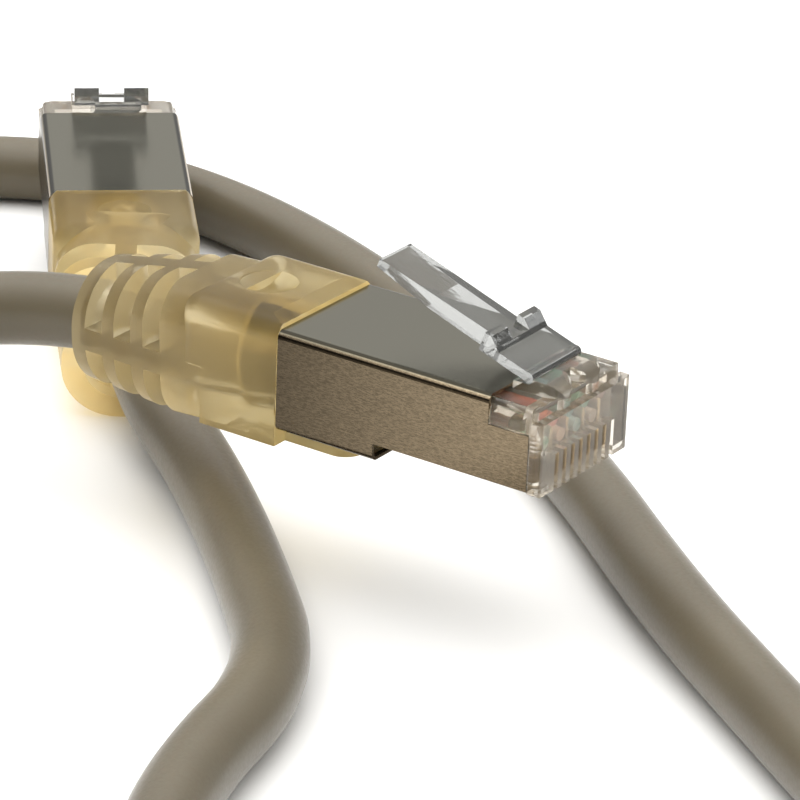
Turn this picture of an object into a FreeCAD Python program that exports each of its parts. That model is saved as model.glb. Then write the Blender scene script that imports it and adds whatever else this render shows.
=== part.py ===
"""Shielded eight-way modular plug on a short patch lead, with the lead's other plug."""
import FreeCAD
import Part
import math
import os

Vector = FreeCAD.Vector
ACROSS = Vector(1, 0, 0)
REARWARD = Vector(0, 1, 0)
UPWARD = Vector(0, 0, 1)

# A plug is drawn in its own frame, in millimetres: X across, Y from the nose to the rear,
# Z up from the underside of the nose. The latch is on top and the contacts are below.

# Allowances: how far joined pieces run into each other, how far a cut runs past a face,
# and the small gap left between pieces that seat on one another
overlap = 0.2
clear = 1.0
seat_gap = 0.06

# Clear body
plug_width = 11.68
nose_height = 5.4
body_length = 21.4
shoulder_front = 0.95
shoulder_round = 1.1
hood_width = 6.3
hood_front = 0.5
hood_back = 4.1
hood_top = 7.3
hood_round = 1.2
hood_notch_width = 1.0
hood_notch_depth = 1.3
rear_drop = 1.1
rear_front = 13.66
edge_round = 0.45
core_front = 0.4
wire_room_front = 2.0
wire_room_width = 9.1
wire_room_floor = 2.35
wire_room_top = 5.5
rear_room_front = 12.6
rear_room_wall = 0.6
rear_room_floor = -0.2

# Folded metal shield
sheet = 0.25
shield_top = 6.6
shield_front = 0.96
shield_top_front = 4.27
shield_notch_top = 4.45
shield_foot = 0.3
shield_overhang = 0.56
shield_rear = body_length + shield_overhang
fold_radius = 0.6
flange_width = 3.3
crimp_step = 1.14
crimp_front = shield_rear + crimp_step
crimp_length = 3.2
crimp_gap_angle = 50.0
crimp_strip_width = 3.0
crimp_room = 0.4
crimp_strip_reach = 1.0
belly_strap = 2.4

# Contacts, wires and the bar that holds the wires
way_count = 8
way_pitch = 1.02
blade_thickness = 0.32
blade_front = 0.35
blade_length = 3.9
blade_bottom = 0.45
blade_shoulder = 2.3
blade_nose_round = 0.7
tooth_length = 0.9
tooth_point = 0.4
front_tooth_offset = 2.0
slot_width = 0.46
slot_back = 4.5
slot_top = 2.75
wire_diameter = 0.98
lower_wire_height = 3.15
upper_wire_height = 4.6
wire_front = 2.2
bar_front = 6.2
bar_back = 11.4
bar_gap = 0.05
wire_spread_end = 12.2
gather_share = 0.5
gather_row_offset = 0.52
wire_end_gap = 0.45

# Latch lever, drawn flat and then tilted up about its hinge
hinge_back = 2.95
hinge_height = 7.35
hinge_radius = 0.4
latch_tilt = 18.5
plate_width = 6.2
plate_thickness = 0.7
plate_length = 4.2
plate_side_gap = 0.2
ridge_start = 2.7
ridge_height = 0.75
ridge_top_length = 0.55
ridge_dip_width = 2.1
ridge_dip_share = 0.3
lever_root_width = 3.5
lever_tip_width = 3.8
lever_root_thickness = 1.3
lever_tip_thickness = 0.66
lever_kink = 9.6
lever_kink_depth = 0.5
lever_rise = 0.1
lever_length = 14.2

# Moulded boot
boot_width = 11.7
boot_top = 7.2
boot_bottom = -2.28
block_length = 6.58
boot_back = shield_rear + seat_gap + block_length
boot_round = 1.6
boot_lip_run = 1.35
boot_lip_drop = 0.3
shoulder_reach = 2.3
shoulder_back = boot_back + shoulder_reach
shoulder_bottom = 2.0
tongue_reach = 5.56
tongue_front = shield_rear - tongue_reach
tongue_width = 9.0
tongue_round = 1.6
tail_root_half = 5.6
tail_root_top = 5.8
tail_root_round = 3.2
tail_half = 4.6
tail_round = 4.3
tail_length = 12.65
tail_back = boot_back + tail_length
tail_spine = 1.7
tail_slot = 1.7
tail_ring_width = 1.2
tail_end_ring = 1.35
tail_slot_count = 3
tail_overlap = 1.5
dish_radius = 2.15
dish_depth = 0.6
dish_centre = 4.95

# Cable
cable_diameter = 5.5
cable_radius = cable_diameter / 2
braid_thickness = 0.2
braid_reach = 2.36
braid_front = shield_rear - braid_reach
cable_gap = 0.04
bore_gap = 0.14
arc_share = 0.45

# The row frame stands at the middle of the nose's plain front face, above the contact slots.
face_height = 4.0
surface_drop = 13.4
surface_height = -surface_drop - face_height
lay_height = surface_height + cable_radius

# The far plug lies on the surface by the end of its tail, with its nose up on the cable
far_nose = Vector(42.3, 74.6, -11.75)
far_turn = 131.0
far_pitch = 1.6

# Where the jacket starts inside a plug, and the two bends that lead it out of the boot
jacket_inset = 3.8
jacket_start_height = 2.7
bend_reach = 1.9
bend_height = 1.25
exit_reach = 6.25
exit_height = 0.4
jacket_start = Vector(0, body_length - jacket_inset, jacket_start_height)
jacket_bend = Vector(0, boot_back + bend_reach, bend_height)
jacket_exit = Vector(0, tail_back + exit_reach, exit_height)
# The far boot's tail is bent a little, to one side and down
far_jacket_exit = jacket_exit + Vector(1.6, 0, -0.9)

near_place = FreeCAD.Placement(Vector(0, 0, -face_height), FreeCAD.Rotation())
far_place = FreeCAD.Placement(far_nose, FreeCAD.Rotation(UPWARD, far_turn)
                              * FreeCAD.Rotation(ACROSS, -far_pitch))

# The lead between the two plugs: round the back, under the far plug's nose, past the near
# one's nose, round a loop in front, and home
lead_points = [
    (-6.5, 62.5, -7.6),
    (-6.0, 80.5, -12.4),
    (4.5, 94.0, lay_height),
    (21.0, 99.0, lay_height),
    (37.5, 93.0, lay_height),
    (47.5, 78.5, lay_height),
    (46.5, 61.0, lay_height),
    (37.0, 38.0, lay_height),
    (20.5, 11.5, lay_height),
    (4.0, -6.5, lay_height),
    (1.0, -21.5, lay_height),
    (-15.0, -38.0, lay_height),
    (-33.5, -41.0, lay_height),
    (-49.0, -33.0, lay_height),
    (-56.5, -17.5, lay_height),
    (-54.0, -0.5, lay_height),
    (-43.0, 11.5, lay_height),
    (-28.0, 15.5, lay_height),
    (-13.5, 17.5, lay_height),
    (0.0, 28.5, lay_height),
]


def block(width, y_from, y_to, z_from, z_to):
    """A box that is centred across the plug."""
    corner = Vector(-width / 2, y_from, z_from)
    return Part.makeBox(width, y_to - y_from, z_to - z_from, corner)


def bar_along(radius, y_from, y_to, height=0.0):
    """A round bar that runs from front to rear along the middle of the plug."""
    return Part.makeCylinder(radius, y_to - y_from, Vector(0, y_from, height), REARWARD)


def runs_along(edge, direction):
    """True for a straight edge in one direction."""
    if edge.Degenerated or not isinstance(edge.Curve, Part.Line):
        return False
    return abs(edge.tangentAt(edge.FirstParameter).dot(direction)) > 0.999


def edges_where(shape, direction, test):
    """The straight edges in one direction whose middle passes the test."""
    found = []
    for edge in shape.Edges:
        if runs_along(edge, direction) and test(edge.CenterOfMass):
            found.append(edge)
    return found


def side_extrusion(outline, width):
    """A side view in the YZ plane, extruded across the plug about its middle."""
    points = [Vector(-width / 2, y, z) for y, z in outline]
    face = Part.Face(Part.makePolygon(points + points[:1]))
    return face.extrude(Vector(width, 0, 0))


def route_edges(points):
    """Straight runs joined by tangent arcs, each as large as its two runs allow."""
    edges = []
    radii = []
    start = points[0]
    for before, corner, after in zip(points, points[1:], points[2:]):
        run_in = corner - before
        run_out = after - corner
        shorter = min(run_in.Length, run_out.Length)
        trim = arc_share * shorter
        turn = run_in.getAngle(run_out)
        radius = trim / math.tan(turn / 2)
        first = corner - run_in * (trim / run_in.Length)
        last = corner + run_out * (trim / run_out.Length)
        inward = (first + last) * 0.5 - corner
        reach = radius / math.cos(turn / 2) - radius
        middle = corner + inward * (reach / inward.Length)
        edges.append(Part.LineSegment(start, first).toShape())
        edges.append(Part.Arc(first, middle, last).toShape())
        radii.append(radius)
        start = last
    edges.append(Part.LineSegment(start, points[-1]).toShape())
    return edges, radii


def disc(centre, normal, radius):
    """A round face across a route."""
    return Part.Face(Part.Wire([Part.Circle(centre, normal, radius).toShape()]))


def swept_face(rim, edge):
    """The wall that a rim sweeps along one straight run or arc."""
    start = edge.valueAt(edge.FirstParameter)
    if isinstance(edge.Curve, Part.Line):
        return rim.extrude(edge.valueAt(edge.LastParameter) - start)
    turn = math.degrees(edge.Length / edge.Curve.Radius)
    axis = (start - edge.Curve.Center).cross(edge.tangentAt(edge.FirstParameter))
    return rim.revolve(edge.Curve.Center, axis, turn)


def tube(points, radius):
    """A closed round bar that follows a route."""
    edges, radii = route_edges(points)
    first_way = points[1] - points[0]
    last_way = points[-1] - points[-2]
    faces = [disc(points[0], first_way, radius)]
    for edge in edges:
        start = edge.valueAt(edge.FirstParameter)
        way = edge.tangentAt(edge.FirstParameter)
        faces.append(swept_face(Part.Circle(start, way, radius).toShape(), edge))
    faces.append(disc(points[-1], last_way, radius))
    shell = Part.Shell(faces)
    shell.sewShape()
    return Part.Solid(shell)


def mitred_bar(points, radius):
    """A thin round bar whose short runs meet in mitres."""
    path = Part.makePolygon(points)
    profile = Part.Wire([Part.Circle(points[0], points[1] - points[0], radius).toShape()])
    return path.makePipeShell([profile], True, False, 1)


def way_across(way):
    """How far a contact and its wire lie from the middle; the ways are counted from 0."""
    return (way - (way_count - 1) / 2) * way_pitch


def wire_height(way):
    """The wires lie in two rows: every other one is in the upper row."""
    return upper_wire_height if way % 2 else lower_wire_height


def jacket_route(leaving):
    """The jacket's way through a plug and its boot to where it leaves, in the plug's frame."""
    return [jacket_start, jacket_bend, leaving]


def inner_width():
    return plug_width - 2 * (sheet + seat_gap)


def inner_top():
    return shield_top - sheet - seat_gap


def plug_nose():
    """The full-width front of the body: contact block, two shoulders and the middle hood."""
    lower = block(plug_width, 0, shield_front, 0, nose_height)
    corners = edges_where(lower, UPWARD, lambda c: c.y < edge_round)
    corners += edges_where(lower, REARWARD, lambda c: c.z < edge_round)
    lower = lower.makeFillet(edge_round, corners)
    behind = shield_top_front - seat_gap
    ledge = shield_notch_top + seat_gap
    upper = block(plug_width, shoulder_front - overlap, behind, ledge, inner_top())
    upper_corners = edges_where(upper, REARWARD, lambda c: c.z > nose_height)
    upper_corners += edges_where(upper, UPWARD, lambda c: c.y < shoulder_front)
    upper = upper.makeFillet(shoulder_round, upper_corners)
    return lower.multiFuse([upper] + nose_hood())


def nose_hood():
    """The hood in front of the latch: two rounded lobes, joined behind the notch between them."""
    foot = nose_height - clear
    lobe_width = (hood_width - hood_notch_width) / 2
    lobe = block(lobe_width, hood_front, hood_back, foot, hood_top)
    corners = edges_where(lobe, UPWARD, lambda c: c.y < shoulder_front)
    corners += edges_where(lobe, ACROSS, lambda c: c.y < shoulder_front and c.z > nose_height)
    lobe = lobe.makeFillet(hood_round, corners)
    lobes = [lobe.translated(ACROSS * side * (hood_width - lobe_width) / 2) for side in (-1, 1)]
    bridge = block(hood_width - lobe_width, hood_front + hood_notch_depth, hood_back, foot, hood_top)
    return lobes + [bridge]


def plug_core():
    """The body inside the shield, with its deeper rear section."""
    inside = sheet + seat_gap
    outline = [
        (core_front, shield_foot),
        (rear_front + inside, shield_foot),
        (rear_front + inside, inside - rear_drop),
        (body_length, inside - rear_drop),
        (body_length, inner_top()),
        (shoulder_front, inner_top()),
        (shoulder_front, nose_height),
        (core_front, nose_height),
    ]
    core = side_extrusion(outline, inner_width())
    folds = edges_where(core, REARWARD, lambda c: c.z > nose_height or c.z < 0)
    return core.makeFillet(fold_radius - sheet, folds)


def plug_rooms():
    """The wire room behind the nose and the wider cable room at the rear."""
    wire_room = block(wire_room_width, wire_room_front, rear_room_front, wire_room_floor,
                      wire_room_top)
    rear_room = block(inner_width() - 2 * rear_room_wall, rear_room_front - overlap,
                      body_length + clear, rear_room_floor, wire_room_top)
    cable_way = mitred_bar(jacket_route(jacket_exit), crimp_radius() + seat_gap)
    return [wire_room, rear_room, cable_way]


def contact_slots():
    """One slot for each contact, open below and at the front."""
    slots = []
    for way in range(way_count):
        corner = Vector(way_across(way) - slot_width / 2, -clear, -clear)
        slots.append(Part.makeBox(slot_width, slot_back + clear, slot_top + clear, corner))
    return slots


def plug_body():
    """The clear moulded body."""
    body = plug_core().fuse(plug_nose()).removeSplitter()
    width = plate_width + 2 * plate_side_gap
    pocket = Part.makeCylinder(hinge_radius + seat_gap, width,
                               Vector(-width / 2, hinge_back, hinge_height), ACROSS)
    behind_hinge = block(width, hinge_back, hood_back + overlap,
                         hinge_height - hinge_radius - seat_gap, hood_top + clear)
    return body.cut(plug_rooms() + contact_slots() + [pocket, behind_hinge])


def contact(way):
    """A flat blade with two teeth that reach into its wire."""
    back = blade_front + blade_length
    blade = side_extrusion([(blade_front, blade_bottom), (back, blade_bottom),
                            (back, blade_shoulder), (blade_front, blade_shoulder)],
                           blade_thickness)
    nose_edge = edges_where(blade, ACROSS,
                            lambda c: c.y < back - clear and c.z < blade_shoulder - clear)
    blade = blade.makeFillet(blade_nose_round, nose_edge)
    tip = wire_height(way)
    for start in (blade_front + front_tooth_offset, back - tooth_length):
        end = start + tooth_length
        tooth = side_extrusion([(start, blade_shoulder - overlap), (end, blade_shoulder - overlap),
                                (end, tip - tooth_point), ((start + end) / 2, tip),
                                (start, tip - tooth_point)], blade_thickness)
        blade = blade.fuse(tooth)
    blade.translate(Vector(way_across(way), 0, 0))
    return blade.removeSplitter()


def wire_route(way):
    """Straight through the bar, then gathered towards the cable."""
    across = way_across(way)
    height = wire_height(way)
    row = gather_row_offset if way % 2 else -gather_row_offset
    return [
        Vector(across, wire_front, height),
        Vector(across, wire_spread_end, height),
        Vector(across * gather_share, jacket_start.y - wire_end_gap, jacket_start.z + row),
    ]


def wire(way):
    """One insulated conductor, pierced by its contact."""
    return mitred_bar(wire_route(way), wire_diameter / 2).cut(contact(way))


def load_bar():
    """The clear bar that keeps the wires in two rows of grooves."""
    floor = wire_room_floor + bar_gap
    top = wire_room_top - bar_gap
    bar = block(wire_room_width - 2 * bar_gap, bar_front, bar_back, floor, top)
    groove_radius = wire_diameter / 2 + bar_gap / 2
    grooves = []
    for way in range(way_count):
        height = wire_height(way)
        mouth = (height, top + clear) if way % 2 else (floor - clear, height)
        groove = block(2 * groove_radius, bar_front - clear, bar_back + clear, *mouth)
        round_end = bar_along(groove_radius, bar_front - clear, bar_back + clear, height)
        groove = groove.fuse(round_end)
        groove.translate(Vector(way_across(way), 0, 0))
        grooves.append(groove)
    return bar.cut(grooves)


def folded_box(y_from, y_to, z_bottom, offset):
    """A box with the shield's fold radius, at its outer face or one sheet inside it."""
    box = block(plug_width - 2 * offset, y_from, y_to, z_bottom + offset, shield_top - offset)
    return box.makeFillet(fold_radius - offset, edges_where(box, REARWARD, lambda c: True))


def shield_walls():
    """Top and sides along the whole shield, open below."""
    outer = folded_box(shield_front, shield_rear, -rear_drop, 0)
    inner = folded_box(shield_front - clear, shield_rear + clear, -rear_drop, sheet)
    walls = outer.cut(inner)
    wide = plug_width + clear
    below = -rear_drop - clear
    open_foot = block(wide, 0, rear_front, below, shield_foot)
    open_top = block(wide, 0, shield_top_front, shield_notch_top, shield_top + clear)
    open_belly = block(plug_width - 2 * flange_width, 0, shield_rear - belly_strap, below, 0)
    return walls.cut([open_foot, open_top, open_belly])


def crimp_barrel():
    """The open barrel that grips the braid, on a strip from the rear of the shield."""
    slope = jacket_slope()
    centre = jacket_point(crimp_front)
    inner_radius = crimp_radius()
    barrel = Part.makeCylinder(inner_radius + sheet, crimp_length, centre, slope)
    room = Part.makeCylinder(inner_radius, crimp_length + 2 * clear, centre - slope * clear, slope)
    half_gap = inner_radius * math.sin(math.radians(crimp_gap_angle / 2))
    opening = Part.makeBox(2 * half_gap, crimp_length + 3 * clear, inner_radius * 2,
                           centre + Vector(-half_gap, -clear, 0))
    foot = centre.z - inner_radius
    riser = block(crimp_strip_width, shield_rear - sheet, shield_rear, sheet / 2 - rear_drop, foot)
    strip = block(crimp_strip_width, shield_rear - sheet, crimp_front + crimp_strip_reach,
                  foot - sheet, foot)
    return barrel.multiFuse([riser, strip]).cut([room, opening])


def shield():
    """The folded nickel-plated shield with its crimp barrel."""
    return shield_walls().fuse(crimp_barrel()).removeSplitter()


def braid():
    """The screen's braid, folded back over the jacket under the crimp barrel."""
    slope = jacket_slope()
    start = jacket_point(braid_front)
    length = crimp_front + crimp_length - braid_front
    outer = Part.makeCylinder(cable_radius + braid_thickness, length, start, slope)
    inner = Part.makeCylinder(cable_radius + cable_gap / 2, length + 2 * clear,
                              start - slope * clear, slope)
    return outer.cut(inner)


def lever_side():
    """The lever's side view: thick at the root, thin beyond the kink."""
    top = plate_thickness / 2 + lever_rise
    start = plate_length - overlap
    return side_extrusion([
        (start, top),
        (start, top - lever_root_thickness),
        (lever_kink, top - lever_tip_thickness - lever_kink_depth),
        (lever_length, top - lever_tip_thickness),
        (lever_length, top),
    ], lever_tip_width)


def lever():
    """The finger lever, a little narrower at its root than at its tip."""
    root = plate_length - clear
    tip = lever_length + clear
    outline = [
        Vector(-lever_root_width / 2, root, -plate_width / 2),
        Vector(-lever_tip_width / 2, tip, -plate_width / 2),
        Vector(lever_tip_width / 2, tip, -plate_width / 2),
        Vector(lever_root_width / 2, root, -plate_width / 2),
    ]
    taper = Part.Face(Part.makePolygon(outline + outline[:1])).extrude(UPWARD * plate_width)
    return lever_side().common(taper)


def latch_flat():
    """Hinge roll, wide plate, locking ridge and lever, before they are tilted."""
    half = plate_thickness / 2
    plate = block(plate_width, 0, plate_length, -half, half)
    roll = Part.makeCylinder(hinge_radius, plate_width, Vector(-plate_width / 2, 0, 0), ACROSS)
    ridge_back = plate_length
    ramp_end = ridge_back - ridge_top_length
    ridge = side_extrusion([(ridge_start, 0), (ridge_start, half),
                            (ramp_end, half + ridge_height),
                            (ridge_back, half + ridge_height), (ridge_back, 0)],
                           plate_width)
    dip = block(ridge_dip_width, ridge_start - clear, ridge_back + clear,
                half + ridge_dip_share * ridge_height, half + ridge_height + clear)
    return plate.multiFuse([roll, ridge.cut(dip), lever()]).removeSplitter()


def latch():
    """The latch lever as it stands at rest, tilted up about its hinge."""
    shape = latch_flat()
    shape.rotate(Vector(0, 0, 0), ACROSS, latch_tilt)
    shape.translate(Vector(0, hinge_back, hinge_height))
    return shape


def tail_frame(leaving):
    """The place of the tail: its own Y runs along the cable from the back of the block."""
    slope = leaving - jacket_bend
    slope.normalize()
    start = jacket_bend + slope * ((boot_back - jacket_bend.y) / slope.y)
    return FreeCAD.Placement(start, FreeCAD.Rotation(REARWARD, slope))


def tail_bar(half, top, rounding, front, back):
    """A straight bar with the tail's section: flat sides with rounded corners."""
    bar = block(2 * half, front, back, -tail_half, top)
    return bar.makeFillet(rounding, edges_where(bar, REARWARD, lambda c: True))


def front_outline(bar):
    """The outline of a bar's front face."""
    return min(bar.Faces, key=lambda face: face.CenterOfMass.y).OuterWire


def tail_taper(front, back):
    """The part of the tail that narrows from its root to its end."""
    root = tail_bar(tail_root_half, tail_root_top, tail_root_round, front, back)
    end = tail_bar(tail_half, tail_half, tail_round, back, back + clear)
    return Part.makeLoft([front_outline(root), front_outline(end)], True, True)


def tail_windows(front):
    """One slot's four windows, which leave a spine above, below and on each side."""
    reach = tail_root_top + clear
    back = front + tail_slot
    slot = block(2 * reach, front, back, -reach, reach)
    side_spines = block(2 * reach, front, back, -tail_spine / 2, tail_spine / 2)
    upright_spines = block(tail_spine, front, back, -reach, reach)
    return slot.cut([side_spines, upright_spines])


def boot_tail(leaving):
    """The tail behind the block, with a row of slots that let it bend."""
    length = tail_back - boot_back
    pitch = tail_slot + tail_ring_width
    first_slot = length - tail_end_ring - tail_slot_count * pitch + tail_ring_width
    root = tail_bar(tail_root_half, tail_root_top, tail_root_round, -tail_overlap, first_slot)
    tail = root.fuse(tail_taper(first_slot, length))
    tail = tail.cut([tail_windows(first_slot + index * pitch) for index in range(tail_slot_count)])
    tail.Placement = tail_frame(leaving)
    return tail


def boot_block():
    """The square block behind the shield, with its shoulder over the tail."""
    front = shield_rear + seat_gap
    base = block(boot_width, front, boot_back, boot_bottom, boot_top)
    shoulder = block(boot_width, front + clear, shoulder_back, shoulder_bottom, boot_top)
    body = base.fuse(shoulder).removeSplitter()
    rounded = edges_where(body, REARWARD, lambda c: c.z > boot_top - overlap)
    rounded += edges_where(body, UPWARD, lambda c: c.y > shoulder_back - overlap)
    rounded += edges_where(body, ACROSS,
                           lambda c: c.y > shoulder_back - overlap and c.z > boot_top - overlap)
    body = body.makeFillet(boot_round, rounded)
    return body.cut([boot_lip(front), boot_dish(front)])


def boot_lip(front):
    """The wedge taken off the top of the block, which leaves a sloped lip at the front."""
    above = boot_top + clear
    return side_extrusion([(front + boot_lip_run, boot_top),
                           (front - boot_lip_run, boot_top - 2 * boot_lip_drop),
                           (front - boot_lip_run, above), (front + boot_lip_run, above)],
                          boot_width + clear)


def boot_dish(front):
    """The ball that presses a shallow dish for the thumb into the top of the block."""
    radius = (dish_radius ** 2 + dish_depth ** 2) / (2 * dish_depth)
    centre = Vector(0, front + dish_centre, boot_top + radius - dish_depth)
    return Part.makeSphere(radius, centre, ACROSS)


def boot_tongue():
    """The tongue that runs forward under the shield."""
    tongue = block(tongue_width, tongue_front, shield_rear + clear, boot_bottom,
                   -rear_drop - seat_gap)
    corners = edges_where(tongue, UPWARD, lambda c: c.y < tongue_front + overlap)
    return tongue.makeFillet(tongue_round, corners)


def crimp_radius():
    """The crimp barrel's inner radius, round the braid."""
    return cable_radius + braid_thickness + cable_gap


def jacket_slope():
    """The direction of the jacket inside the plug."""
    slope = jacket_bend - jacket_start
    return slope.normalize()


def jacket_point(y):
    """The middle of the jacket at one distance behind the nose."""
    slope = jacket_slope()
    return jacket_start + slope * ((y - jacket_start.y) / slope.y)


def boot(leaving):
    """The translucent boot: block, tongue and slotted tail, bored for the cable."""
    body = boot_block().multiFuse([boot_tongue(), boot_tail(leaving)]).removeSplitter()
    bore = tube(jacket_route(leaving), cable_radius + bore_gap)
    barrel_radius = crimp_radius() + sheet + seat_gap
    front = jacket_point(shield_rear - clear)
    room_length = crimp_front + crimp_length + crimp_room - front.y
    room = Part.makeCylinder(barrel_radius, room_length, front, jacket_slope())
    strip_room = block(crimp_strip_width + 2 * seat_gap, shield_rear,
                       crimp_front + crimp_strip_reach + seat_gap,
                       front.z - barrel_radius - crimp_room, front.z)
    return body.cut([bore, room, strip_room])


def lead_route():
    """The jacket's whole route, from inside the near plug to inside the far one."""
    near = [near_place.multVec(point) for point in jacket_route(jacket_exit)]
    far = [far_place.multVec(point) for point in reversed(jacket_route(far_jacket_exit))]
    return near + [Vector(*point) for point in lead_points] + far


def cable():
    """The jacketed cable, as one round tube."""
    route = lead_route()
    edges, radii = route_edges(route)
    solid = tube(route, cable_radius)
    length = sum(edge.Length for edge in edges)
    expected = math.pi * cable_radius ** 2 * length
    print("cable length", round(length, 1), "volume ratio", round(solid.Volume / expected, 4))
    print("bend radii", [round(radius, 1) for radius in radii])
    return solid


def plug_pieces():
    """Every piece of one plug, in the plug's frame."""
    pieces = {"plug_body": plug_body(), "latch": latch(), "shield": shield(),
              "load_bar": load_bar(), "braid": braid()}
    for way in range(way_count):
        pieces["contact_%d" % (way + 1)] = contact(way)
        pieces["wire_%d" % (way + 1)] = wire(way)
    return pieces


def placed(shape, place):
    copy = shape.copy()
    copy.Placement = place.multiply(copy.Placement)
    return copy


def export(name, shape):
    shape.exportStep(os.path.join("parts", name + ".step"))


def main():
    os.makedirs("parts", exist_ok=True)
    for name, shape in plug_pieces().items():
        export(name, placed(shape, near_place))
        export("far_" + name, placed(shape, far_place))
    export("boot", placed(boot(jacket_exit), near_place))
    export("far_boot", placed(boot(far_jacket_exit), far_place))
    export("cable", cable())


main()
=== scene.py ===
# Shielded modular plug on its patch lead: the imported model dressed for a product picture
import math
import bpy
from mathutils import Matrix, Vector


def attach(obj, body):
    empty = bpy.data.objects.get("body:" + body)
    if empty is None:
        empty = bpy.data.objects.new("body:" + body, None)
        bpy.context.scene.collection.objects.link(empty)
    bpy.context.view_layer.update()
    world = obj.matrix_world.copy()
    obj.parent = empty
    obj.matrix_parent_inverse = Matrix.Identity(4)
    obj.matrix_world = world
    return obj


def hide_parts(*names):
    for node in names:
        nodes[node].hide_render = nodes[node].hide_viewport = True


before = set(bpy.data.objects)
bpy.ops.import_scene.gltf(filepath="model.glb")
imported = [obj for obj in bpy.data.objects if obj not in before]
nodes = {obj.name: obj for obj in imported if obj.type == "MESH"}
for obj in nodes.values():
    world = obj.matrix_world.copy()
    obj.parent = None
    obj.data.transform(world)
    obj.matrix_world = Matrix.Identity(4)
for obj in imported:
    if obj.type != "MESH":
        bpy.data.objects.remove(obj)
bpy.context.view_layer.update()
print("packed model loaded:", len(nodes), "nodes")

plugPrefixes = ("", "far_")

# Camera
cameraSetup = {
    "place": (-0.231869, -0.137916, 0.118825),
    "turn": (66.346, -2.173, -55.582),
    "lens": 193.2,
}


def addCamera(setup):
    lens = bpy.data.cameras.new("productCamera")
    lens.lens = setup["lens"]
    lens.sensor_width = 36.0
    lens.clip_start = 0.01
    lens.clip_end = 20.0
    camera = bpy.data.objects.new("productCamera", lens)
    camera.location = setup["place"]
    camera.rotation_euler = [math.radians(angle) for angle in setup["turn"]]
    bpy.context.scene.collection.objects.link(camera)
    bpy.context.scene.camera = camera


addCamera(cameraSetup)
print("camera ready")


# Small helpers for building materials
class Finish:
    def __init__(self, name):
        self.material = bpy.data.materials.new(name)
        self.material.use_nodes = True
        self.tree = self.material.node_tree
        self.tree.nodes.clear()
        self.output = self.add("ShaderNodeOutputMaterial")
        self.coords = self.add("ShaderNodeTexCoord").outputs["Object"]

    def add(self, kind, **values):
        node = self.tree.nodes.new(kind)
        for key, value in values.items():
            setattr(node, key, value)
        return node

    def link(self, source, target):
        self.tree.links.new(source, target)

    def shader(self, **values):
        node = self.add("ShaderNodeBsdfPrincipled")
        for key, value in values.items():
            node.inputs[key.replace("_", " ")].default_value = value
        self.link(node.outputs["BSDF"], self.output.inputs["Surface"])
        return node

    # clear plastic with some translucent milk in it; shadow rays pass, so that light gets inside
    def cloud(self, clear, milk, share, passingTint):
        milky = self.add("ShaderNodeMixShader")
        milky.inputs["Fac"].default_value = share
        self.link(clear.outputs["BSDF"], milky.inputs[1])
        self.link(milk.outputs["BSDF"], milky.inputs[2])
        passing = self.add("ShaderNodeBsdfTransparent")
        passing.inputs["Color"].default_value = (*passingTint, 1.0)
        mix = self.add("ShaderNodeMixShader")
        self.link(self.add("ShaderNodeLightPath").outputs["Is Shadow Ray"], mix.inputs["Fac"])
        self.link(milky.outputs["Shader"], mix.inputs[1])
        self.link(passing.outputs["BSDF"], mix.inputs[2])
        self.link(mix.outputs["Shader"], self.output.inputs["Surface"])

    # where in its own box a point lies along an axis, from 0 to 1
    def along(self, axis):
        split = self.add("ShaderNodeSeparateXYZ")
        self.link(self.add("ShaderNodeTexCoord").outputs["Generated"], split.inputs[0])
        return split.outputs[axis]

    def multiply(self, first, second):
        mix = self.add("ShaderNodeMix", data_type="RGBA", blend_type="MULTIPLY")
        mix.inputs["Factor"].default_value = 1.0
        if isinstance(first, tuple):
            mix.inputs["A"].default_value = (*first, 1.0)
        else:
            self.link(first, mix.inputs["A"])
        self.link(second, mix.inputs["B"])
        return mix.outputs["Result"]

    # noise in metres: scale is how many swirls to a metre, stretch squeezes it along an axis
    def noise(self, scale, detail=4.0, rough=0.5, stretch=(1, 1, 1)):
        mapping = self.add("ShaderNodeMapping")
        mapping.inputs["Scale"].default_value = stretch
        self.link(self.coords, mapping.inputs["Vector"])
        node = self.add("ShaderNodeTexNoise")
        node.inputs["Scale"].default_value = scale
        node.inputs["Detail"].default_value = detail
        node.inputs["Roughness"].default_value = rough
        self.link(mapping.outputs["Vector"], node.inputs["Vector"])
        return node.outputs["Fac"]

    def ramp(self, source, stops):
        node = self.add("ShaderNodeValToRGB")
        points = node.color_ramp.elements
        while len(points) < len(stops):
            points.new(0.5)
        for point, (place, colour) in zip(points, stops):
            point.position = place
            point.color = (*colour, 1.0)
        self.link(source, node.inputs["Fac"])
        return node.outputs["Color"]

    # a value from one range to another; a noise stays mostly between 0.3 and 0.7
    def spread(self, source, low, high, start=0.3, end=0.7):
        node = self.add("ShaderNodeMapRange")
        node.inputs["From Min"].default_value = start
        node.inputs["From Max"].default_value = end
        node.inputs["To Min"].default_value = low
        node.inputs["To Max"].default_value = high
        self.link(source, node.inputs["Value"])
        return node.outputs["Result"]

    def bump(self, source, shader, height):
        node = self.add("ShaderNodeBump")
        node.inputs["Distance"].default_value = height
        node.inputs["Strength"].default_value = 1.0
        self.link(source, node.inputs["Height"])
        self.link(node.outputs["Normal"], shader.inputs["Normal"])
        return node


def cover(name, finish):
    mesh = nodes[name].data
    mesh.materials.clear()
    mesh.materials.append(finish.material)


# the same piece on both plugs
def dress(finish, *names):
    for name in names:
        for prefix in plugPrefixes:
            cover(prefix + name, finish)


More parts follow.
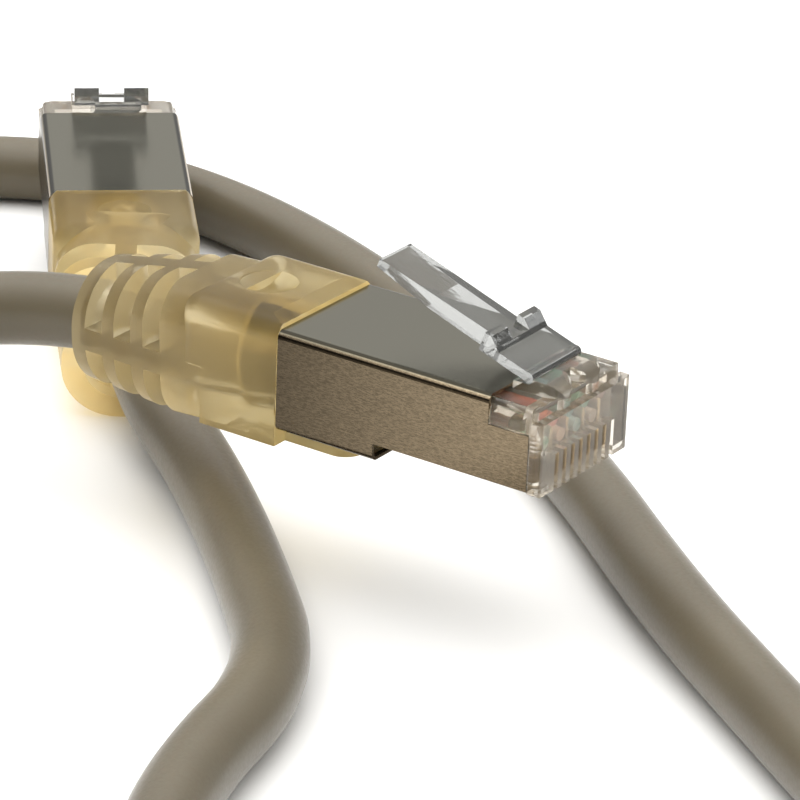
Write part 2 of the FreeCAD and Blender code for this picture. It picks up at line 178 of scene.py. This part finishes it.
# Clear polycarbonate of the body, latch and load bar
clearPlastic = {
    "tint": (0.90, 0.865, 0.81),
    "crown": (0.66, 0.64, 0.60),
    "haze": (0.62, 0.55, 0.44),
    "hazeShare": 0.16,
    "roughness": (0.03, 0.09),
    "bend": 1.43,
    "flow": 1300.0,
    "flowStretch": (1, 0.5, 1),
    "flowHeight": 0.000016,
    "passing": (0.93, 0.91, 0.88),
}
# the latch is thinner and cooler in tone
clearLatch = dict(clearPlastic, tint=(0.48, 0.49, 0.485), crown=None, haze=(0.24, 0.24, 0.235),
                  hazeShare=0.09, roughness=(0.02, 0.06), bend=1.46, flow=420.0,
                  flowHeight=0.000012)


def makeClearFinish(name, values):
    finish = Finish(name)
    shader = finish.shader(Base_Color=(*values["tint"], 1), IOR=values["bend"],
                           Transmission_Weight=1.0)
    haze = finish.add("ShaderNodeBsdfTranslucent")
    haze.inputs["Color"].default_value = (*values["haze"], 1)
    finish.cloud(shader, haze, values["hazeShare"], values["passing"])
    if values["crown"]:
        # the hood on top is thicker and reads smokier
        tone = finish.ramp(finish.along("Z"), [(0.76, values["tint"]), (0.90, values["crown"])])
        finish.link(tone, shader.inputs["Base Color"])
    flow = finish.noise(values["flow"], 3.0, 0.55, values["flowStretch"])
    finish.link(finish.spread(flow, *values["roughness"]), shader.inputs["Roughness"])
    finish.bump(flow, shader, values["flowHeight"])
    return finish


dress(makeClearFinish("clearBody", clearPlastic), "plug_body", "load_bar")
dress(makeClearFinish("clearLatch", clearLatch), "latch")
print("clear plastic ready")

# Bright nickel sheet: the sides keep the grain of the rolls, top and bottom are polished; the sides
# are also painted warmer and browner than the top, a painted reflection of warm surroundings on the
# same metal
shieldSheet = {
    # side tones: the grain of the rolls, painted warm as a reflection of the surroundings
    "light": (0.225, 0.174, 0.114),
    "dark": (0.110, 0.086, 0.056),
    "polished": (0.116, 0.110, 0.083),
    "grain": 15000.0,
    "grainStretch": (1.0, 0.2, 1.0),
    "roughness": (0.23, 0.30),
    "grainHeight": 0.0000022,
    "polish": 0.24,
    "level": (0.55, 0.85),
    # painted reflection along the sides: brighter at the nose, darker at the rear
    "nose": 1.38,
    "rear": 0.22,
    # painted shade and painted highlight at the folds
    "paintedFoldShade": (0.2, 0.19, 0.18),
    "paintedFoldHighlight": (2.4, 2.4, 2.4),
}


def makeShieldFinish(values):
    finish = Finish("nickelSheet")
    shader = finish.shader(Metallic=1.0)
    grain = finish.noise(values["grain"], 6.0, 0.65, values["grainStretch"])
    facing = finish.add("ShaderNodeSeparateXYZ")
    finish.link(finish.add("ShaderNodeNewGeometry").outputs["Normal"], facing.inputs[0])
    upright = finish.add("ShaderNodeMath", operation="ABSOLUTE")
    finish.link(facing.outputs["Z"], upright.inputs[0])
    level = finish.spread(upright.outputs[0], 0.0, 1.0, *values["level"])

    # painted reflection: the sides are painted brighter at the nose and darker toward the cable,
    # for the darker surroundings they reflect at the rear
    side = finish.add("ShaderNodeVectorMath", operation="SCALE")
    grainAndPaintedReflection = finish.ramp(grain, [(0.36, values["dark"]), (0.64, values["light"])])
    finish.link(grainAndPaintedReflection, side.inputs[0])
    paintedReflectionFade = finish.spread(finish.along("Y"), values["nose"], values["rear"], 0.0, 1.0)
    finish.link(paintedReflectionFade, side.inputs["Scale"])

    # top and bottom get the polished tone, the sides the warm grained one; the warmth of the sides
    # is a painted reflection
    tone = finish.add("ShaderNodeMix", data_type="RGBA")
    tone.inputs["B"].default_value = (*values["polished"], 1)
    finish.link(level, tone.inputs["Factor"])
    finish.link(side.outputs["Vector"], tone.inputs["A"])

    # folds: painted shade and a painted highlight where the sheet starts to bend, for the dark and
    # bright surroundings the bend reflects
    plain, dark, bright = (1, 1, 1), values["paintedFoldShade"], values["paintedFoldHighlight"]
    paintedFoldLight = finish.ramp(facing.outputs["Z"], [(0.0, plain), (0.05, (0.25, 0.24, 0.22)),
                                             (0.42, dark), (0.50, bright), (0.70, bright),
                                             (0.80, dark), (0.97, dark), (0.998, plain)])
    finish.link(finish.multiply(tone.outputs["Result"], paintedFoldLight), shader.inputs["Base Color"])
    gloss = finish.add("ShaderNodeMix")
    gloss.inputs["B"].default_value = values["polish"]
    finish.link(level, gloss.inputs["Factor"])
    finish.link(finish.spread(grain, *values["roughness"]), gloss.inputs["A"])
    finish.link(gloss.outputs["Result"], shader.inputs["Roughness"])
    relief = finish.bump(grain, shader, values["grainHeight"])
    smooth = finish.add("ShaderNodeMath", operation="SUBTRACT")
    smooth.inputs[0].default_value = 1.0
    finish.link(level, smooth.inputs[1])
    finish.link(smooth.outputs[0], relief.inputs["Strength"])
    return finish


dress(makeShieldFinish(shieldSheet), "shield")

# Tinned screen, folded back under the crimp
tinnedWeave = {
    "light": (0.74, 0.73, 0.70),
    "dark": (0.30, 0.29, 0.27),
    "strand": 2600.0,
    "strandHeight": 0.00006,
}


def makeBraidFinish(values):
    finish = Finish("tinnedBraid")
    shader = finish.shader(Metallic=1.0, Roughness=0.34)
    weave = finish.add("ShaderNodeTexVoronoi", feature="DISTANCE_TO_EDGE")
    weave.inputs["Scale"].default_value = values["strand"]
    finish.link(finish.coords, weave.inputs["Vector"])
    edge = weave.outputs["Distance"]
    strands = finish.ramp(edge, [(0.0, values["dark"]), (0.3, values["light"])])
    finish.link(strands, shader.inputs["Base Color"])
    finish.bump(edge, shader, values["strandHeight"])
    return finish


dress(makeBraidFinish(tinnedWeave), "braid")

# Gilt contact blades
giltBlade = {
    "light": (0.66, 0.53, 0.34),
    "dark": (0.46, 0.35, 0.20),
    "grain": 7000.0,
    "grainHeight": 0.000002,
    "roughness": (0.14, 0.26),
}


def makeContactFinish(values):
    finish = Finish("giltContact")
    shader = finish.shader(Metallic=1.0)
    grain = finish.noise(values["grain"], 4.0, 0.5, (1, 0.2, 1))
    finish.link(finish.ramp(grain, [(0.3, values["dark"]), (0.7, values["light"])]),
                shader.inputs["Base Color"])
    finish.link(finish.spread(grain, *values["roughness"]), shader.inputs["Roughness"])
    finish.bump(grain, shader, values["grainHeight"])
    return finish


dress(makeContactFinish(giltBlade), *["contact_%d" % (way + 1) for way in range(8)])
print("metal ready")

# The wires from the left of the plug to the right, each as (light, dark)
wireColours = [
    ((0.40, 0.52, 0.42), (0.14, 0.30, 0.20)),
    ((0.52, 0.10, 0.05), (0.36, 0.05, 0.025)),
    ((0.60, 0.44, 0.33), (0.44, 0.24, 0.16)),
    ((0.05, 0.22, 0.24), (0.02, 0.12, 0.14)),
    ((0.34, 0.48, 0.47), (0.15, 0.29, 0.30)),
    ((0.04, 0.22, 0.15), (0.02, 0.13, 0.08)),
    ((0.48, 0.42, 0.37), (0.30, 0.23, 0.18)),
    ((0.20, 0.08, 0.04), (0.11, 0.04, 0.02)),
]
wireCover = {"streak": 1500.0, "streakHeight": 0.000006, "roughness": (0.24, 0.36), "bend": 1.48}


def makeWireFinish(way, light, dark, values):
    finish = Finish("wireCover%d" % (way + 1))
    shader = finish.shader(Subsurface_Weight=0.15, Subsurface_Scale=0.0004, IOR=values["bend"])
    streak = finish.noise(values["streak"], 3.0, 0.5, (1, 0.1, 1))
    finish.link(finish.ramp(streak, [(0.35, dark), (0.6, light)]), shader.inputs["Base Color"])
    finish.link(finish.spread(streak, *values["roughness"]), shader.inputs["Roughness"])
    finish.bump(streak, shader, values["streakHeight"])
    return finish


for way, (light, dark) in enumerate(wireColours):
    dress(makeWireFinish(way, light, dark, wireCover), "wire_%d" % (way + 1))
print("wires ready")

# Soft translucent boot
bootPlastic = {
    "pale": (0.94, 0.88, 0.68),
    "deep": (0.89, 0.79, 0.51),
    "milk": (0.64, 0.54, 0.33),
    "milkShare": 0.46,
    "lowEnd": (1.0, 0.96, 0.80),
    "highEnd": (0.90, 0.92, 1.0),
    "bend": 1.31,
    "roughness": (0.10, 0.18),
    "cloud": 150.0,
    "skin": 900.0,
    "passing": (0.93, 0.88, 0.76),
}
# the boot behind sits in the shade of the other one; this copy of the same plastic gets more,
# brighter milk and a yellower tail as painted light to lift it out of that shade
paintedLitFarBoot = dict(bootPlastic, milk=(0.86, 0.78, 0.58), milkShare=0.58,
                 lowEnd=(1.0, 1.0, 1.0), highEnd=(0.92, 0.86, 0.69))


def makeBootFinish(name, values):
    finish = Finish(name)
    shader = finish.shader(Transmission_Weight=1.0, IOR=values["bend"])
    milk = finish.add("ShaderNodeBsdfTranslucent")
    cloud = finish.noise(values["cloud"], 3.0)
    skin = finish.noise(values["skin"], 3.0)
    # yellower at the block, greyer toward the tail
    wall = finish.ramp(finish.along("Y"), [(0.30, values["lowEnd"]), (0.70, values["highEnd"])])
    tone = finish.ramp(cloud, [(0.35, values["deep"]), (0.65, values["pale"])])
    finish.link(finish.multiply(tone, wall), shader.inputs["Base Color"])
    finish.link(finish.multiply(values["milk"], wall), milk.inputs["Color"])
    finish.link(finish.spread(skin, *values["roughness"]), shader.inputs["Roughness"])
    finish.cloud(shader, milk, values["milkShare"], values["passing"])
    return finish


cover("boot", makeBootFinish("bootPlastic", bootPlastic))
# the far boot gets the brighter copy: painted light against the shade it sits in
cover("far_boot", makeBootFinish("paintedLitFarBootPlastic", paintedLitFarBoot))
print("boots ready")

# The lead
floorHeight = -0.0174
leadCable = {
    "diameter": 0.0055,
    "length": 0.445,
    "exit": (0.0, 0.04125, -0.00329),
    "light": (0.116, 0.095, 0.058),
    "dark": (0.096, 0.078, 0.047),
    "patch": 90.0,
    "grain": 3200.0,
    "grainHeight": 0.000006,
    "roughness": (0.36, 0.5),
    "bend": 1.47,
}
lay = floorHeight + leadCable["diameter"] / 2
# its route in metres, from inside one plug to inside the other
leadRoute = [
    (0.0, 0.0176, -0.0013),
    (0.0, 0.0305, -0.00275),
    (0.0, 0.0475, -0.0036),
    (-0.0065, 0.0625, -0.0076),
    (-0.0060, 0.0805, -0.0124),
    (0.0045, 0.0940, lay),
    (0.0210, 0.0990, lay),
    (0.0375, 0.0930, lay),
    (0.0475, 0.0785, lay),
    (0.0465, 0.0610, lay),
    (0.0370, 0.0380, lay),
    (0.0215, 0.0140, lay),
    (0.0055, -0.0045, lay),
    (-0.0050, -0.0190, lay),
    (-0.0150, -0.0330, lay),
    (-0.0280, -0.0405, lay),
    (-0.0428, -0.0388, lay),
    (-0.0540, -0.0287, lay),
    (-0.05655, -0.0142, lay),
    (-0.0507, -0.0006, lay),
    (-0.0375, 0.0066, lay),
    (-0.0205, 0.0102, lay),
    (-0.0080, 0.0225, lay),
    (0.0034, 0.0353, lay),
    (0.0092, 0.0446, -0.0134),
    (0.01926, 0.05458, -0.01135),
    (0.02897, 0.06301, -0.00954),
]


def makeCableFinish(values):
    finish = Finish("cableJacket")
    shader = finish.shader(Subsurface_Weight=0.08, Subsurface_Scale=0.0006, IOR=values["bend"],
                           Sheen_Weight=0.35, Sheen_Roughness=0.35)
    broad = finish.noise(values["patch"], 3.0)
    fine = finish.noise(values["grain"], 4.0, 0.6)
    finish.link(finish.ramp(broad, [(0.3, values["dark"]), (0.7, values["light"])]),
                shader.inputs["Base Color"])
    finish.link(finish.spread(fine, *values["roughness"]), shader.inputs["Roughness"])
    finish.bump(fine, shader, values["grainHeight"])
    return finish


def layCable(route, values):
    curve = bpy.data.curves.new("leadCable", "CURVE")
    curve.dimensions = "3D"
    curve.bevel_depth = values["diameter"] / 2
    curve.bevel_resolution = 8
    curve.use_fill_caps = True
    spline = curve.splines.new("NURBS")
    spline.points.add(len(route) - 1)
    for point, place in zip(spline.points, route):
        point.co = (*place, 1.0)
    spline.order_u = 3
    spline.use_endpoint_u = True
    spline.resolution_u = 12
    spline.use_smooth = True
    curve.materials.append(makeCableFinish(values).material)
    cable = bpy.data.objects.new("leadCable", curve)
    bpy.context.scene.collection.objects.link(cable)
    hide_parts("cable")
    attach(cable, "lead")


layCable(leadRoute, leadCable)
print("lead laid")

# Pale floor, soft lights
studio = {
    "floor": (0.90, 0.90, 0.895),
    "floorReach": 3.0,
    "sky": (1.0, 0.99, 0.965),
    "horizonPower": 0.30,
    "skyPower": 1.9,
    "rise": (0.30, 0.80),
    "brightSide": (0.9, 0.44, 0.0),
    "sideSwing": (0.38, 1.52),
}
# lamps, in metres and watts
lamps = {
    "overhead": {"place": (-0.05, 0.10, 0.60), "aim": (0, 0.03, 0),
                 "size": (0.8, 0.6), "watts": 2.6},
    "front": {"place": (-0.60, -0.35, 0.22), "aim": (0, 0.02, 0),
              "size": (0.30, 0.25), "watts": 0.15},
    "rear": {"place": (0.85, 0.75, 0.42), "aim": (0, 0.02, 0),
             "size": (1.2, 0.5), "watts": 0.6},
}


def addFloor(values):
    mesh = bpy.data.meshes.new("studioFloor")
    reach = values["floorReach"]
    corners = [(-reach, -reach, floorHeight), (reach, -reach, floorHeight),
               (reach, reach, floorHeight), (-reach, reach, floorHeight)]
    mesh.from_pydata(corners, [], [(0, 1, 2, 3)])
    finish = Finish("studioFloor")
    shader = finish.shader(Roughness=0.6)
    tone = finish.noise(12.0, 2.0)
    low = [channel * 0.99 for channel in values["floor"]]
    shade = finish.ramp(tone, [(0.3, low), (0.7, values["floor"])])
    finish.link(shade, shader.inputs["Base Color"])
    mesh.materials.append(finish.material)
    floor = bpy.data.objects.new("studioFloor", mesh)
    bpy.context.scene.collection.objects.link(floor)


def addLamp(name, values):
    light = bpy.data.lights.new(name, "AREA")
    light.shape = "RECTANGLE"
    light.size, light.size_y = values["size"]
    light.energy = values["watts"]
    lamp = bpy.data.objects.new(name, light)
    lamp.location = values["place"]
    away = lamp.location - Vector(values["aim"])
    lamp.rotation_euler = away.to_track_quat("Z", "Y").to_euler()
    bpy.context.scene.collection.objects.link(lamp)


def addSky(values):
    world = bpy.data.worlds.new("studioSky")
    bpy.context.scene.world = world
    world.use_nodes = True
    backdrop = world.node_tree.nodes["Background"]
    backdrop.inputs["Color"].default_value = (*values["sky"], 1)
    tree = world.node_tree
    direction = tree.nodes.new("ShaderNodeTexCoord").outputs["Generated"]
    # a wide soft dome: dim at the horizon, bright overhead
    height = tree.nodes.new("ShaderNodeSeparateXYZ")
    tree.links.new(direction, height.inputs[0])
    dome = tree.nodes.new("ShaderNodeMapRange")
    dome.inputs["From Min"].default_value, dome.inputs["From Max"].default_value = values["rise"]
    dome.inputs["To Min"].default_value = values["horizonPower"]
    dome.inputs["To Max"].default_value = values["skyPower"]
    tree.links.new(height.outputs["Z"], dome.inputs["Value"])
    # and brighter on one side
    sideways = tree.nodes.new("ShaderNodeVectorMath")
    sideways.operation = "DOT_PRODUCT"
    sideways.inputs[1].default_value = values["brightSide"]
    tree.links.new(direction, sideways.inputs[0])
    swing = tree.nodes.new("ShaderNodeMapRange")
    swing.inputs["From Min"].default_value = -1.0
    swing.inputs["To Min"].default_value, swing.inputs["To Max"].default_value = values["sideSwing"]
    tree.links.new(sideways.outputs["Value"], swing.inputs["Value"])
    strength = tree.nodes.new("ShaderNodeMath")
    strength.operation = "MULTIPLY"
    tree.links.new(dome.outputs["Result"], strength.inputs[0])
    tree.links.new(swing.outputs["Result"], strength.inputs[1])
    tree.links.new(strength.outputs[0], backdrop.inputs["Strength"])


addFloor(studio)
addSky(studio)
for lampName, lampValues in lamps.items():
    addLamp(lampName, lampValues)
bpy.context.scene.view_settings.view_transform = "Standard"
print("studio ready")

bpy.context.view_layer.update()
